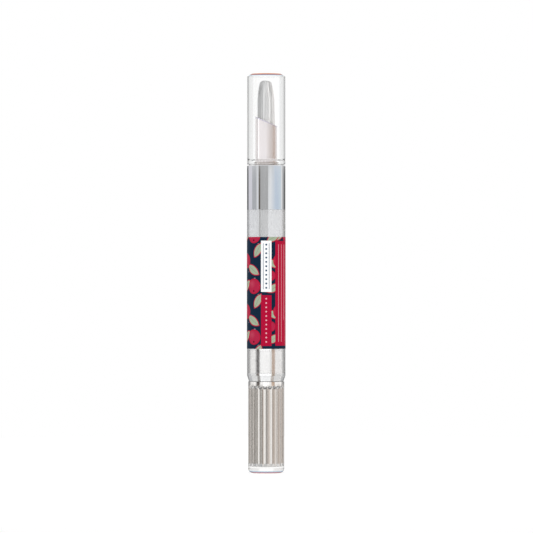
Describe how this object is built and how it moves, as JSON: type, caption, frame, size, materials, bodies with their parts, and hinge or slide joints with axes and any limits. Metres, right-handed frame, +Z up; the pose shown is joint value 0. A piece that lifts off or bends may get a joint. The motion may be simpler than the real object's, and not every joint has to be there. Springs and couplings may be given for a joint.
{
  "type": "nail oil pen",
  "caption": "Slim twist-up oil pen: clear pull-off cap, brush in a slanted nib, polished collar, wrapped barrel with a piston reservoir, and a clear knob with flutes inside.",
  "frame": {"origin": "middle of the flat that the knob stands on", "axes": "+Z up along the pen to the cap's end, -Y towards the front of the wrap"},
  "size_m": [0.0132, 0.0132, 0.1357],
  "materials": {
    "milky_plastic": "translucent, smooth",
    "printed_film": "printed film, satin",
    "white_plastic": "moulded, matt",
    "polished_metal": "polished",
    "seal_rubber": "matt",
    "feed_plastic": "smooth",
    "nib_plastic": "translucent, satin",
    "brush_nylon": "fine filaments",
    "clear_cap": "clear, polished",
    "clear_knob": "clear, polished outside",
    "core_plastic": "moulded, matt",
    "spring_plastic": "moulded, smooth",
    "piston_plastic": "soft moulded",
    "screw_plastic": "moulded"
  },
  "bodies": {
    "barrel": {"barrel_tube": "milky_plastic", "label_wrap": "printed_film", "drive_nut": "white_plastic", "collar_ring": "polished_metal", "neck_plug": "white_plastic", "neck_o_ring": "seal_rubber", "feed_tube": "feed_plastic", "nib_sleeve": "nib_plastic", "bristles": "brush_nylon"},
    "cap": {"cap_shell": "clear_cap"},
    "knob": {"knob_shell": "clear_knob", "drive_sleeve": "core_plastic", "click_spring": "spring_plastic"},
    "piston": {"piston": "piston_plastic"},
    "screw": {"lead_screw": "screw_plastic"}
  },
  "joints": [
    {"name": "cap_pull", "type": "slide", "parent": "barrel", "child": "cap", "axis": [0, 0, 1], "range_m": [0, 0.045]},
    {"name": "knob_turn", "type": "hinge", "parent": "barrel", "child": "knob", "pos_m": [0, 0, 0.0155], "axis": [0, 0, 1], "range_deg": [0, 5220]},
    {"name": "piston_feed", "type": "slide", "parent": "barrel", "child": "piston", "axis": [0, 0, 1], "range_m": [0, 0.02901]},
    {"name": "screw_feed", "type": "slide", "parent": "knob", "child": "screw", "axis": [0, 0, 1], "range_m": [0, 0.02901]}
  ],
  "couplings": [
    {"joint": "piston_feed", "follows": "knob_turn", "m_per_rad": 0.00031831},
    {"joint": "screw_feed", "follows": "knob_turn", "m_per_rad": 0.00031831}
  ]
}
